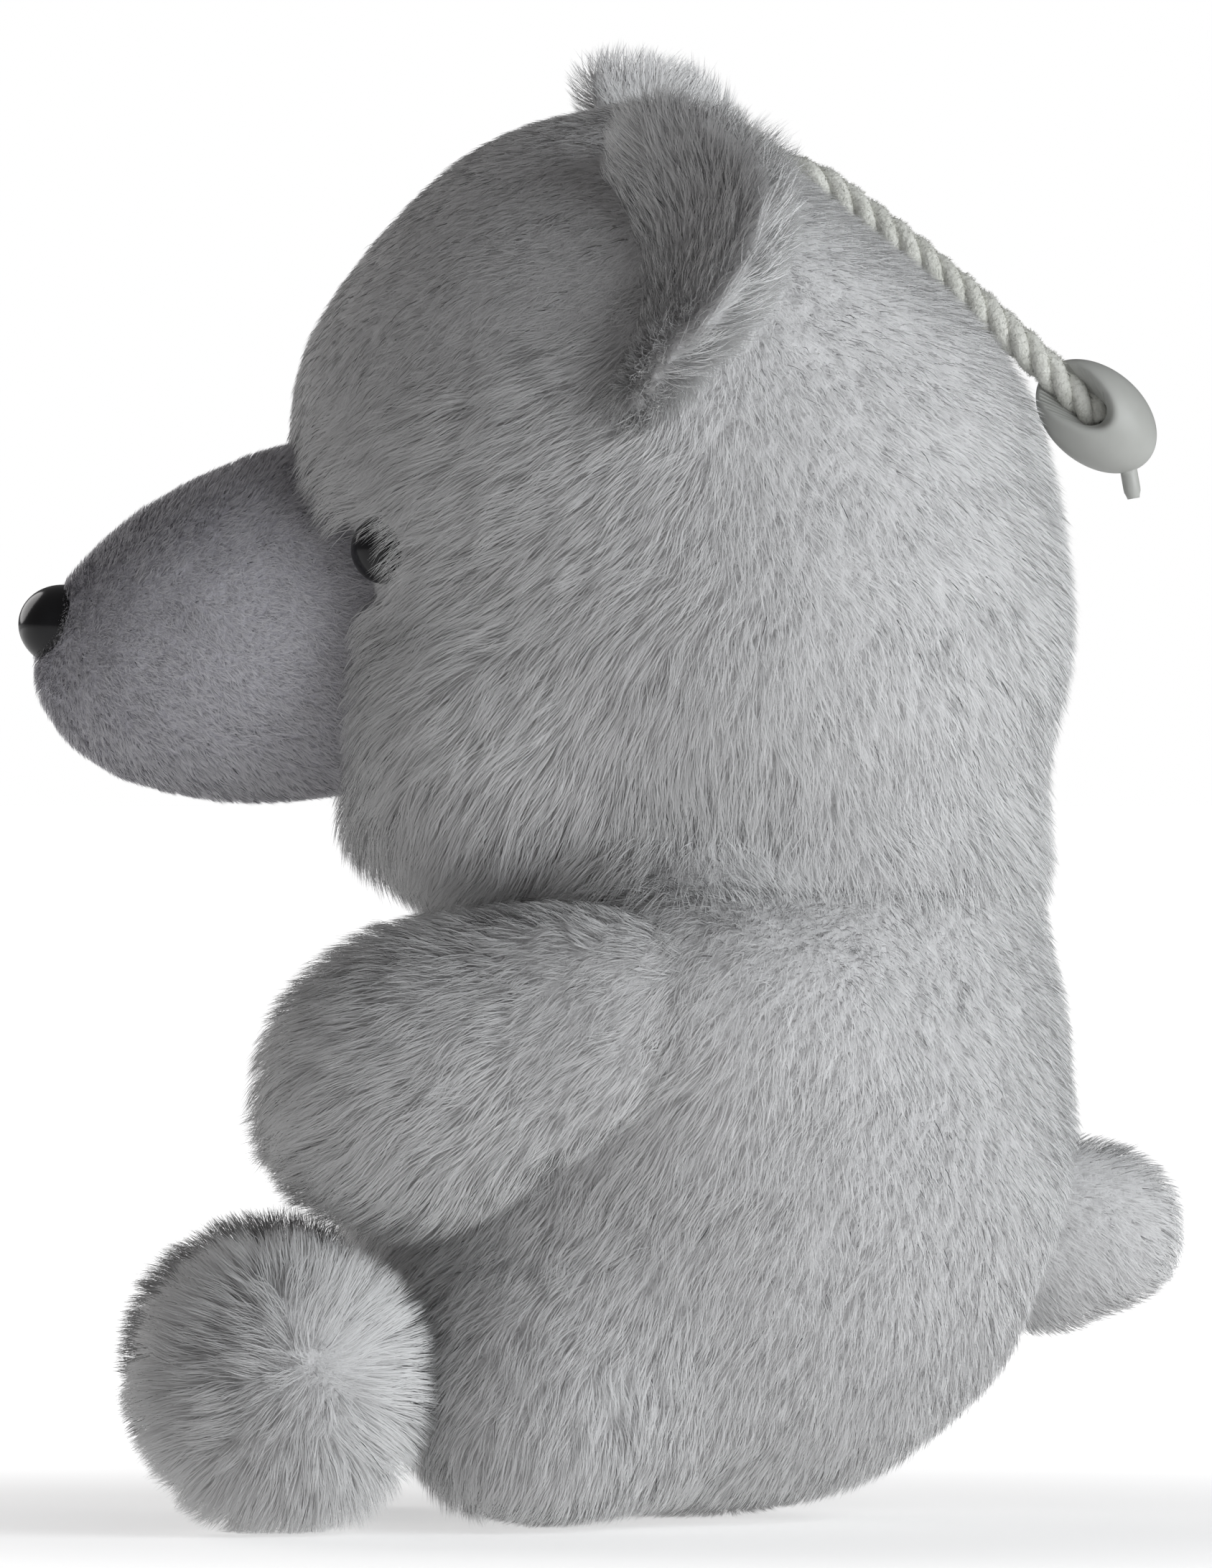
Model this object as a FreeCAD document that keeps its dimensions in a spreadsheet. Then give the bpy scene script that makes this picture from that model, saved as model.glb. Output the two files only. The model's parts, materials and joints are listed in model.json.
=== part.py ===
import FreeCAD, Part
import os
import re

# Sitting plush bear cub with a hanging cord. Millimetres, +Z up. The cub faces -Y and its left side is +X.
# The origin is on the seat plane, under the middle of the body.

DIMENSIONS = {
    # pile and clearances
    "pile": 5.0,
    "short_pile": 2.5,
    "seam": 0.2,
    "limb_gap": 2.2,
    "ear_gap": 3.2,
    # head: a round skull, with a fuller jowl and nape and low cheeks below it
    "skull_y": -8.0,
    "skull_z": 146.0,
    "skull_radius": 50.0,
    "skull_half_width": 50.0,
    "jowl_y": 2.0,
    "jowl_z": 130.0,
    "jowl_half_depth": 49.5,
    "jowl_half_height": 40.0,
    "jowl_half_width": 50.0,
    "cheek_y": -26.0,
    "cheek_z": 110.0,
    "cheek_half_depth": 26.0,
    "cheek_half_height": 17.5,
    "cheek_half_width": 36.0,
    "gusset_half_width": 15.0,
    "cord_slope": 40.0,
    "cord_flat": 43.0,
    # snout
    "snout_y": -51.0,
    "snout_z": 126.6,
    "snout_half_length": 45.5,
    "snout_half_height": 25.3,
    "snout_half_width": 22.5,
    "snout_tilt": 14.5,
    "snout_plug": 9.0,
    # safety eyes and nose
    "eye_radius": 4.8,
    "eye_height": 4.6,
    "eye_depth": 3.2,
    "eye_turn": 32.0,
    "eye_rise": -13.5,
    "shank_radius": 1.4,
    "shank_reach": 8.0,
    "washer_radius": 6.0,
    "washer_thickness": 1.2,
    "nose_half_height": 5.8,
    "nose_half_width": 7.2,
    "nose_height": 6.6,
    "nose_depth": 4.8,
    "nose_lift": 9.3,
    # ears
    "ear_y": -14.0,
    "ear_half_height": 24.0,
    "ear_reach": 28.0,
    "ear_half_thickness": 4.5,
    "ear_sweep": 48.0,
    "left_ear_angle": 53.0,
    "right_ear_angle": 43.0,
    "ear_lining": 1.6,
    # torso sections, from the seat to the neck
    "torso_top": 84.5,
    "neck_radius": 17.0,
    "neck_height": 3.4,
    "thread_radius": 0.45,
    "pellet_half_width": 28.0,
    "pellet_half_height": 9.0,
    # arms
    "arm_x": 39.5,
    "arm_y": -27.0,
    "arm_z": 66.0,
    "arm_half_length": 34.0,
    "arm_half_width": 14.5,
    "arm_half_height": 18.5,
    "arm_toe_in": 12.0,
    "arm_droop": 15.0,
    # feet
    "foot_x": 37.0,
    "foot_y": -60.0,
    "foot_z": 20.5,
    "foot_half_width": 20.0,
    "foot_half_depth": 22.5,
    "foot_half_height": 20.5,
    "foot_root": 17.5,
    "sole_height": 3.0,
    # tail
    "tail_y": 54.0,
    "tail_z": 42.5,
    "tail_half_width": 13.5,
    "tail_half_length": 14.0,
    "tail_half_height": 13.5,
    "tail_tilt": 12.0,
    "tail_root": 2.5,
    # hanging cord and its bead, measured down the slope at the back of the skull
    "cord_radius": 2.3,
    "cord_start": -13.0,
    "cord_lie": 45.5,
    "knot_radius": 4.0,
    "end_knot_radius": 2.8,
    "plug_radius": 3.05,
    "bead_down": 42.0,
    "bead_half_length": 10.0,
    "bead_radius": 7.0,
    "bore_clearance": 0.1,
    "scoop_side": 6.0,
    "scoop_up": 7.5,
    "scoop_depth": 6.2,
    "scoop_half_length": 9.0,
    "scoop_half_width": 4.0,
    "stop_down": 1.5,
    "nib_radius": 1.2,
    "nib_length": 4.6,
    "nib_bend": 30.0,
    "nib_drop": 1.7,
}

# Torso outline: height, centre along Y, half depth and half width of each ellipse.
TORSO_SECTIONS = {
    "seat": (0.0, -8.0, 22.0, 18.0),
    "low": (9.0, -4.0, 35.5, 31.0),
    "hip": (24.0, 0.0, 46.0, 43.0),
    "belly": (45.0, 2.0, 51.0, 48.0),
    "chest": (66.0, 3.0, 49.0, 45.0),
    "top": (84.5, 5.0, 43.0, 38.0),
}

doc = FreeCAD.newDocument("bear_cub")
dims = doc.addObject("Spreadsheet::Sheet", "dims")
parts = []
aliases = set()


def write_dimension(row, alias, value):
    aliases.add(alias)
    dims.set(f"A{row}", alias)
    dims.set(f"B{row}", str(value))
    dims.setAlias(f"B{row}", alias)


def write_sheet():
    row = 1
    for alias, value in DIMENSIONS.items():
        write_dimension(row, alias, value)
        row += 1
    for section, values in TORSO_SECTIONS.items():
        for quantity, value in zip(("level", "centre", "depth", "width"), values):
            write_dimension(row, f"{section}_{quantity}", value)
            row += 1
    doc.recompute()


def sheet(text):
    """Turn the dimension names in a formula into references to the sheet."""
    return re.sub(r"[a-z]\w*", lambda word: f"dims.{word[0]}" if word[0] in aliases else word[0], text)


def bind(obj, **formulas):
    for name, text in formulas.items():
        obj.setExpression(name, sheet(text))


def place(obj, x="0", y="0", z="0", yaw="0", pitch="0", roll="0"):
    base = f"vector({sheet(x)}; {sheet(y)}; {sheet(z)})"
    turn = f"rotation({sheet(yaw)}; {sheet(pitch)}; {sheet(roll)})"
    obj.setExpression("Placement", f"placement({base}; {turn})")
    return obj


def ellipsoid(name, half_x, half_y, half_z, **where):
    obj = doc.addObject("Part::Ellipsoid", name)
    obj.Angle1 = -90
    obj.Angle2 = 90
    obj.Angle3 = 360
    bind(obj, Radius1=half_z, Radius2=half_x, Radius3=half_y)
    return place(obj, **where)


def cylinder(name, radius, height, **where):
    obj = doc.addObject("Part::Cylinder", name)
    bind(obj, Radius=radius, Height=height)
    return place(obj, **where)


def block(name, x0, x1, y0, y1, z0, z1, **where):
    """A cutting block between two corners, in its own turned frame when a place is given."""
    obj = doc.addObject("Part::Box", name)
    bind(obj, Length=f"( {x1} ) - ( {x0} )", Width=f"( {y1} ) - ( {y0} )", Height=f"( {z1} ) - ( {z0} )")
    if not where:
        return place(obj, x=x0, y=y0, z=z0)
    frame = place(doc.addObject("Part::Compound", name + "_turned"), **where)
    place(obj, x=x0, y=y0, z=z0)
    frame.Links = [obj]
    return frame


def fuse(name, *shapes):
    obj = doc.addObject("Part::MultiFuse", name)
    obj.Shapes = list(shapes)
    return obj


def cut(name, base, *tools):
    """Take each tool away from the base in turn."""
    result = base
    for number, tool in enumerate(tools):
        obj = doc.addObject("Part::Cut", f"{name}_{number}" if number else name)
        obj.Base = result
        obj.Tool = tool
        result = obj
    return result


def common(name, *shapes):
    obj = doc.addObject("Part::MultiCommon", name)
    obj.Shapes = list(shapes)
    return obj


def mirror(name, source):
    obj = doc.addObject("Part::Mirroring", name)
    obj.Source = source
    obj.Base = (0, 0, 0)
    obj.Normal = (1, 0, 0)
    return obj


def part(label, obj):
    """Name a finished sub-part; its label is its file name."""
    obj.Label = label
    parts.append(obj)
    return obj


WIDE = "150"


def head_form(name, inset, flat_inset):
    """Skull, jowl and cheeks drawn in by the inset, with the slope at the back where the cord lies."""
    skull = ellipsoid(
        name + "_skull",
        f"skull_half_width - ( {inset} )",
        f"skull_radius - ( {inset} )",
        f"skull_radius - ( {inset} )",
        y="skull_y",
        z="skull_z",
    )
    jowl = ellipsoid(
        name + "_jowl",
        f"jowl_half_width - ( {inset} )",
        f"jowl_half_depth - ( {inset} )",
        f"jowl_half_height - ( {inset} )",
        y="jowl_y",
        z="jowl_z",
    )
    cheeks = ellipsoid(
        name + "_cheeks",
        f"cheek_half_width - ( {inset} )",
        f"cheek_half_depth - ( {inset} )",
        f"cheek_half_height - ( {inset} )",
        y="cheek_y",
        z="cheek_z",
    )
    slope = block(
        name + "_slope",
        "-" + WIDE,
        WIDE,
        "-" + WIDE,
        WIDE,
        f"cord_flat - ( {flat_inset} )",
        WIDE,
        y="skull_y",
        z="skull_z",
        roll="0 - cord_slope",
    )
    return cut(name, fuse(name + "_full", skull, jowl, cheeks), slope)


def snout_form(name, inset):
    """Snout drawn in by the inset; its surface closes on itself at the rear, inside the head."""
    return ellipsoid(
        name,
        f"snout_half_length - ( {inset} )",
        f"snout_half_width - ( {inset} )",
        f"snout_half_height - ( {inset} )",
        y="snout_y",
        z="snout_z",
        yaw="90",
        pitch="0 - snout_tilt",
    )


def torso_form(name, inset):
    """Loft through the torso ellipses, drawn in by the inset at every side."""
    rings = []
    for section in TORSO_SECTIONS:
        ring = doc.addObject("Part::Ellipse", f"{name}_{section}")
        bind(
            ring,
            MajorRadius=f"{section}_depth - ( {inset} )",
            MinorRadius=f"{section}_width - ( {inset} )",
        )
        shift = "0"
        if section == "seat":
            shift = inset
        if section == "top":
            shift = f"0 - ( {inset} )"
        place(ring, y=f"{section}_centre", z=f"{section}_level + ( {shift} )", yaw="90")
        rings.append(ring)
    loft = doc.addObject("Part::Loft", name)
    loft.Sections = rings
    loft.Solid = True
    loft.Ruled = False
    return loft


def on_face(turn, rise):
    """Place of a fitting on the skull, its own Z pointing out of the face."""
    return {
        "x": f"sin({turn} ) * cos({rise} ) * skull_half_width",
        "y": f"skull_y - cos({turn} ) * cos({rise} ) * skull_radius",
        "z": f"skull_z + sin({rise} ) * skull_radius",
        "yaw": f"{turn} - 90",
        "pitch": f"90 - ( {rise} )",
    }


def shifted(name, where, *shapes):
    """Carry shapes drawn about their own origin to a place."""
    group = doc.addObject("Part::Compound", name)
    group.Links = list(shapes)
    return place(group, **where)


def build_eye(side, turn):
    where = on_face(turn, "eye_rise")
    dome = common(
        f"eye_dome_{side}",
        ellipsoid(f"eye_ball_{side}", "eye_radius", "eye_radius", "eye_height", z="0 - eye_depth"),
        block(f"eye_top_{side}", "-9", "9", "-9", "9", "0 - eye_depth", "9"),
    )
    shank = cylinder(f"eye_shank_{side}", "shank_radius", "shank_reach", z="0 - eye_depth - shank_reach")
    eye = shifted(f"eye_placed_{side}", where, fuse(f"eye_body_{side}", dome, shank))
    plate = cut(
        f"washer_plate_{side}",
        cylinder(f"washer_disc_{side}", "washer_radius", "washer_thickness", z="0 - pile - 2.2"),
        cylinder(f"washer_hole_{side}", "shank_radius + seam", "9", z="0 - pile - 4"),
    )
    washer = shifted(f"washer_placed_{side}", where, plate)
    socket = cylinder(f"eye_socket_{side}", "eye_radius + seam", "12", z="0 - eye_depth - seam")
    tunnel = cylinder(f"eye_tunnel_{side}", "shank_radius + seam", "shank_reach + 1", z="0 - 9")
    panel_hole = shifted(f"eye_hole_{side}", where, fuse(f"eye_hole_form_{side}", socket, tunnel))
    cavity = cylinder(f"eye_cavity_{side}", "washer_radius + 0.4", "9", z="0 - pile - 7")
    stuffing_hole = shifted(f"eye_hollow_{side}", where, cavity)
    part(f"eye_{side}", eye)
    part(f"eye_washer_{side}", washer)
    return panel_hole, stuffing_hole


def build_head():
    left = build_eye("left", "eye_turn")
    right = build_eye("right", "0 - eye_turn")
    outer = head_form("head_outer", "0", "0")
    inner = head_form("head_inner", "pile", "pile")
    core = head_form("head_core", "pile + seam", "pile + seam")
    mouth_opening = snout_form("snout_opening", "short_pile - seam")
    shell = cut("head_shell", outer, inner, mouth_opening, left[0], right[0])
    half = "gusset_half_width"
    everything = ("-" + WIDE, WIDE, "-10", "300")
    strips = {
        "forehead_gusset": (f"0 - {half}", half),
        "head_side_left": (f"{half} + seam", WIDE),
        "head_side_right": ("-" + WIDE, f"0 - {half} - seam"),
    }
    for label, (x0, x1) in strips.items():
        part(label, common(label + "_panel", shell, block(label + "_strip", x0, x1, *everything)))
    plug_end = "skull_y - skull_radius + snout_plug"
    front = block("snout_front", "-" + WIDE, WIDE, "-" + WIDE, plug_end, "-10", "300")
    nose_cuts = build_nose()
    cover = cut(
        "snout_shell",
        snout_form("snout_outer", "0"),
        snout_form("snout_lining", "short_pile"),
        head_form("snout_seat", "0 - seam", "0 - seam"),
        nose_cuts[0],
    )
    part("snout_cover", cover)
    snout_core = snout_form("snout_core", "short_pile + seam")
    plug = common("snout_plugged", snout_core, front)
    part("snout_stuffing", cut("snout_filling", plug, *nose_cuts))
    plug_hole = common("snout_keyway", snout_form("snout_key", "short_pile"), block(
        "snout_key_front", "-" + WIDE, WIDE, "-" + WIDE, plug_end + " + seam", "-10", "300"))
    knot_place = dict(slope_frame(), y_in="cord_start", z_in="cord_flat - pile - knot_radius - 2")
    part("cord_knot", knot_ball("cord_knot_ball", "knot_radius", **knot_place))
    knot_room = knot_ball("cord_knot_room", "knot_radius + seam", **knot_place)
    part("head_stuffing", cut("head_filling", core, plug_hole, left[1], right[1], knot_room))


def build_nose():
    """Oval nose let into the front of the snout, above its tip."""
    where = {
        "y": "snout_y - snout_half_length * cos(snout_tilt ) + nose_depth",
        "z": "snout_z - snout_half_length * sin(snout_tilt ) + nose_lift",
        "roll": "76",
    }
    dome = common(
        "nose_dome",
        ellipsoid("nose_ball", "nose_half_width", "nose_half_height", "nose_height"),
        block("nose_front", "-9", "9", "-9", "9", "0", "9"),
    )
    shank = cylinder("nose_shank", "shank_radius", "shank_reach", z="0 - shank_reach")
    part("nose", shifted("nose_placed", where, fuse("nose_body", dome, shank)))
    disc = cylinder("nose_washer_disc", "washer_radius", "washer_thickness", z="-4.6")
    hole = cylinder("nose_washer_hole", "shank_radius + seam", "9", z="-8")
    part("nose_washer", shifted("nose_washer_placed", where, cut("nose_washer_plate", disc, hole)))
    pocket = ellipsoid("nose_pocket", "nose_half_width + seam", "nose_half_height + seam", "nose_height")
    upper = common(
        "nose_pocket_front", pocket, block("nose_pocket_top", "-9", "9", "-9", "9", "0 - seam", "9"))
    tunnel = cylinder("nose_tunnel", "shank_radius + seam", "shank_reach + 1", z="0 - shank_reach")
    cover_hole = shifted("nose_hole", where, fuse("nose_hole_form", upper, tunnel))
    room = cylinder("nose_room", "washer_radius + 0.4", "12", z="0 - shank_reach - 1")
    return cover_hole, shifted("nose_hollow", where, room)


def build_ear(side, sign, angle):
    """Rounded ear in two fabrics, standing on the skull and swept back."""
    where = {
        "x": f"{sign} * sin({angle} ) * skull_half_width",
        "y": "ear_y",
        "z": f"skull_z + cos({angle} ) * skull_radius",
        "pitch": f"{sign} * {angle}",
        "roll": "0 - ear_sweep",
    }
    gap = head_form(f"ear_seat_{side}", "0 - ear_gap", "0 - ear_gap")
    flap = ellipsoid(f"ear_flap_{side}", "ear_half_height", "ear_half_thickness", "ear_reach")
    placed = shifted(f"ear_placed_{side}", where, flap)
    body = cut(f"ear_body_{side}", placed, gap)
    lining = block(f"ear_lining_{side}", "-60", "60", "-60", "0 - ear_lining - seam", "-60", "60", **where)
    back = block(f"ear_rear_{side}", "-60", "60", "0 - ear_lining", "60", "-60", "60", **where)
    part(f"ear_front_{side}", common(f"ear_front_panel_{side}", body, lining))
    part(f"ear_back_{side}", common(f"ear_back_panel_{side}", body, back))


def build_torso():
    outer = torso_form("torso_outer", "0")
    inner = torso_form("torso_inner", "pile")
    shell = cut("torso_shell", outer, inner)
    seat_top = "low_level + 3"
    side_seam = "-14"
    high = "120"
    zones = {
        "seat_panel": ("-" + WIDE, WIDE, "-" + WIDE, WIDE, "-1", seat_top),
        "belly_panel": ("-" + WIDE, WIDE, "-" + WIDE, side_seam, seat_top + " + seam", high),
        "back_panel_left": ("seam * 0.5", WIDE, side_seam + " + seam", WIDE, seat_top + " + seam", high),
        "back_panel_right": (
            "-" + WIDE, "0 - seam * 0.5", side_seam + " + seam", WIDE, seat_top + " + seam", high),
    }
    for label, corners in zones.items():
        part(label, common(label + "_cloth", shell, block(label + "_zone", *corners)))
    bag = ellipsoid(
        "pellets", "pellet_half_width", "pellet_half_width", "pellet_half_height",
        y="low_centre", z="pile + pellet_half_height + 4")
    part("pellet_bag", bag)
    room = ellipsoid(
        "pellet_room", "pellet_half_width + seam", "pellet_half_width + seam", "pellet_half_height + seam",
        y="low_centre", z="pile + pellet_half_height + 4")
    part("torso_stuffing", cut("torso_filling", torso_form("torso_core", "pile + seam"), room))


def build_neck():
    plug = cylinder("neck_disc", "neck_radius", "neck_height", y="0", z="torso_top + seam")
    part("neck_stuffing", plug)
    thread = doc.addObject("Part::Torus", "neck_ring")
    bind(thread, Radius1="neck_radius + thread_radius + seam", Radius2="thread_radius")
    place(thread, z="torso_top + seam + neck_height * 0.5")
    part("neck_thread", thread)


def build_arm():
    """Left arm: outer and inner fabric panels round one stuffing, then its mirror image."""
    where = {"x": "arm_x", "y": "arm_y", "z": "arm_z", "yaw": "0 - arm_toe_in", "roll": "arm_droop"}
    clear = torso_form("arm_seat", "0 - limb_gap")

    def form(name, inset):
        return ellipsoid(
            name,
            f"arm_half_width - ( {inset} )",
            f"arm_half_length - ( {inset} )",
            f"arm_half_height - ( {inset} )",
            **where,
        )

    sleeve = cut("arm_sleeve", form("arm_form", "0"), clear)
    lining = cut("arm_lining", form("arm_lining_form", "pile"), torso_form("arm_seat_deep", "0 - limb_gap - pile"))
    shell = cut("arm_shell", sleeve, lining)
    outside = block("arm_outside", "seam", "60", "-60", "60", "-60", "60", **where)
    inside = block("arm_inside", "-60", "0", "-60", "60", "-60", "60", **where)
    outer = part("arm_outer_left", common("arm_outer_panel", shell, outside))
    inner = part("arm_inner_left", common("arm_inner_panel", shell, inside))
    core = form("arm_core_form", "pile + seam")
    deep = torso_form("arm_seat_core", "0 - limb_gap - pile - seam")
    filling = part("arm_stuffing_left", cut("arm_filling", core, deep))
    part("arm_outer_right", mirror("arm_outer_mirror", outer))
    part("arm_inner_right", mirror("arm_inner_mirror", inner))
    part("arm_stuffing_right", mirror("arm_filling_mirror", filling))


def build_foot():
    """Left foot: a round puff with a flat sole panel, then its mirror image."""
    def form(name, inset):
        ball = ellipsoid(
            name + "_ball",
            f"foot_half_width - ( {inset} )",
            f"foot_half_depth - ( {inset} )",
            f"foot_half_height + 1 - ( {inset} )",
            x="foot_x",
            y="foot_y",
            z="foot_z",
        )
        zone = block(
            name + "_zone", "0", WIDE, "-" + WIDE, f"foot_y + foot_root - ( {inset} )", inset, "90")
        return common(name, ball, zone)

    shell = cut("foot_shell", form("foot_form", "0"), form("foot_lining", "pile"))
    upper = block("foot_upper", "0", WIDE, "-" + WIDE, "0", "sole_height + seam", "90")
    sole = block("foot_lower", "0", WIDE, "-" + WIDE, "0", "-1", "sole_height")
    cover = part("foot_cover_left", common("foot_cover_panel", shell, upper))
    base = part("foot_sole_left", common("foot_sole_panel", shell, sole))
    filling = part("foot_stuffing_left", form("foot_filling", "pile + seam"))
    part("foot_cover_right", mirror("foot_cover_mirror", cover))
    part("foot_sole_right", mirror("foot_sole_mirror", base))
    part("foot_stuffing_right", mirror("foot_filling_mirror", filling))


def build_tail():
    def form(name, inset):
        ball = ellipsoid(
            name + "_ball",
            f"tail_half_width - ( {inset} )",
            f"tail_half_length - ( {inset} )",
            f"tail_half_height - ( {inset} )",
            y="tail_y",
            z="tail_z",
            roll="0 - tail_tilt",
        )
        zone = block(
            name + "_zone", "-40", "40", f"tail_y + tail_root + ( {inset} )", WIDE, "0", "90")
        return common(name, ball, zone)

    shell = cut("tail_shell", form("tail_form", "0"), form("tail_lining", "pile * 0.6"))
    upper = block("tail_over", "-40", "40", "0", WIDE, "tail_z", "90")
    lower = block("tail_under", "-40", "40", "0", WIDE, "0", "tail_z - seam")
    part("tail_upper", common("tail_upper_panel", shell, upper))
    part("tail_lower", common("tail_lower_panel", shell, lower))
    part("tail_stuffing", form("tail_filling", "pile * 0.6 + seam"))


def slope_frame():
    """Frame of the flat slope at the back of the skull: Y runs down the slope, Z out of it."""
    return {"y": "skull_y", "z": "skull_z", "roll": "0 - cord_slope"}


def knot_ball(name, radius, y_in, z_in, **where):
    ball = ellipsoid(name + "_round", radius, radius, radius, y=y_in, z=z_in)
    return shifted(name, where, ball)


def rod(name, radius, start, end):
    """Round bar along the cord line, between two distances down the slope."""
    return cylinder(name, radius, f"( {end} ) - ( {start} )", y=start, z="cord_lie", roll="-90")


def build_cord():
    """Straight lie of the cord down the back of the head, and the bead that hides its end knot."""
    middle = "bead_down"
    half = "bead_half_length"
    stop = middle + " + stop_down"
    cord = rod("cord_rod", "cord_radius", "cord_start", stop + " + 0.1")
    part("cord", shifted("cord_placed", slope_frame(), cord))
    knot_at = stop + " + end_knot_radius + 0.3"
    end_knot = knot_ball("end_knot_ball", "end_knot_radius", y_in=knot_at, z_in="cord_lie", **slope_frame())
    part("cord_end_knot", end_knot)

    def egg(name):
        return ellipsoid(name, "bead_radius", half, "bead_radius", y=middle, z="cord_lie", yaw="180")

    bore = rod("bead_bore_tool", "cord_radius + bore_clearance", "cord_start", stop)
    chamber = rod("bead_chamber", "plug_radius + 0.05", stop, middle + " + 20")
    scoop = ellipsoid("bead_scoop", "scoop_depth", "scoop_half_length", "scoop_half_width",
                      x="scoop_side", y=f"{middle} - scoop_up", z="cord_lie")
    shell = cut("bead_form", egg("bead_egg"), bore, chamber, scoop)
    part("bead", shifted("bead_placed", slope_frame(), shell))
    plug_start = stop + " + end_knot_radius * 2 + 0.5"
    tip = common("plug_tip", egg("plug_egg"), rod("plug_rod", "plug_radius", plug_start, middle + " + 20"))
    nib_place = {"y": f"{middle} + {half} - 1", "z": "cord_lie - nib_drop", "roll": "0 - 90 - nib_bend"}
    stem = cylinder("nib_stem", "nib_radius", "nib_length", **nib_place)
    cap = shifted("nib_cap", nib_place, ellipsoid(
        "nib_round", "nib_radius", "nib_radius", "nib_radius", z="nib_length"))
    part("bead_plug", shifted("plug_placed", slope_frame(), fuse("plug_form", tip, stem, cap)))


def check_and_write():
    doc.recompute()
    for obj in doc.Objects:
        if "Invalid" in obj.State or "Error" in obj.State:
            raise RuntimeError(f"{obj.Name} did not recompute: {obj.State}")
    for obj in parts:
        if obj.Shape.isNull() or not obj.Shape.isValid():
            raise RuntimeError(f"{obj.Label} has no valid shape")
    os.makedirs("parts", exist_ok=True)
    for obj in parts:
        obj.Shape.exportStep(f"parts/{obj.Label}.step")


write_sheet()
build_head()
build_ear("left", "1", "left_ear_angle")
build_ear("right", "-1", "right_ear_angle")
build_torso()
build_neck()
build_arm()
build_foot()
build_tail()
build_cord()
check_and_write()
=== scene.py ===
import json
import math

import bpy
import numpy as np
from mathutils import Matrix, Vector, kdtree


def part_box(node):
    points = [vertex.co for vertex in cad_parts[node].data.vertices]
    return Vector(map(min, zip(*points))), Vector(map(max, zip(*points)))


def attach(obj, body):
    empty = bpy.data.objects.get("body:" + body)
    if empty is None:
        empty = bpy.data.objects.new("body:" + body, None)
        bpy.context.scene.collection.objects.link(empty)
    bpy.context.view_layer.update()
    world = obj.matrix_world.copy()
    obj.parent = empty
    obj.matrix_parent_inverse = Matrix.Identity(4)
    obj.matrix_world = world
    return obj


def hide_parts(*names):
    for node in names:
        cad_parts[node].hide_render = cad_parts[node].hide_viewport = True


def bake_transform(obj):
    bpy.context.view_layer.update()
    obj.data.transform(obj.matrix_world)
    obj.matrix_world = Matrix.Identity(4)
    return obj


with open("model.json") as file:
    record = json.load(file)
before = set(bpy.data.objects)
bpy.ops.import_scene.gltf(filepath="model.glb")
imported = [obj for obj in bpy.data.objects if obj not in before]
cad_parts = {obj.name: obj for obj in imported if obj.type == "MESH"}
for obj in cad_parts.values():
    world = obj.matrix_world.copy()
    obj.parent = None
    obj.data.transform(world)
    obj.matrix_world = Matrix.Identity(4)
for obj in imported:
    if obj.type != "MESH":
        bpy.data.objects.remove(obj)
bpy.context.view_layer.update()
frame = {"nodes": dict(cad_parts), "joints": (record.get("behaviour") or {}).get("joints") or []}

# Sitting plush bear cub. Lengths in this script are millimetres until a mesh is made, then metres.
MM = 0.001
UP = np.array([0.0, 0.0, 1.0])
BACK = np.array([0.0, 1.0, 0.0])
LEFT = np.array([1.0, 0.0, 0.0])
SIDES = (("left", 1), ("right", -1))


# ---------------------------------------------------------------- places, read from the frame

def corners(*names):
    """Lowest and highest corner of some CAD nodes together, in millimetres."""
    lows, highs = zip(*(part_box(n) for n in names))
    return np.min(lows, axis=0) / MM, np.max(highs, axis=0) / MM


def joint(name):
    """Pivot in millimetres and unit axis of a joint."""
    found = next(j for j in frame["joints"] if j["name"] == name)
    axis = np.array(found["axis"], float)
    return np.array(found["pos_m"], float) / MM, axis / np.linalg.norm(axis)


def unit(v):
    v = np.asarray(v, float)
    return v / np.maximum(np.linalg.norm(v, axis=-1, keepdims=True), 1e-9)


HEAD_LOW, HEAD_HIGH = corners("forehead_gusset", "head_side_left", "head_side_right")
BODY_LOW, _ = corners("seat_panel", "belly_panel", "back_panel_left", "back_panel_right")
SNOUT_LOW, _ = corners("snout_cover")
FOOT_LOW, FOOT_HIGH = corners("foot_cover_left", "foot_sole_left")
TAIL_LOW, TAIL_HIGH = corners("tail_upper", "tail_lower")
CORD_ROOT, _ = joint("cord_lift")
BEAD_MIDDLE, CORD_WAY = joint("bead_spin")
NECK_ABOVE_PIVOT = 1.6
NECK_Z = joint("head_turn")[0][2] + NECK_ABOVE_PIVOT
SKULL_R = 50.0
SKULL = np.array([0.0, HEAD_LOW[1] + SKULL_R, HEAD_HIGH[2] - SKULL_R])
BODY_DEPTH_R, BODY_HEIGHT_R = 49.0, 47.5
BODY = np.array([0.0, BODY_LOW[1] + BODY_DEPTH_R, BODY_LOW[2] + BODY_HEIGHT_R])

# Outward normal of the flat slope that the cord lies on, at the back of the head.
slope_normal = np.cross(CORD_WAY, -LEFT)
SLOPE_OUT = slope_normal * np.sign(slope_normal[2])
SLOPE_DEPTH = 41.6


# ---------------------------------------------------------------- rounded forms as distance fields

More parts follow.
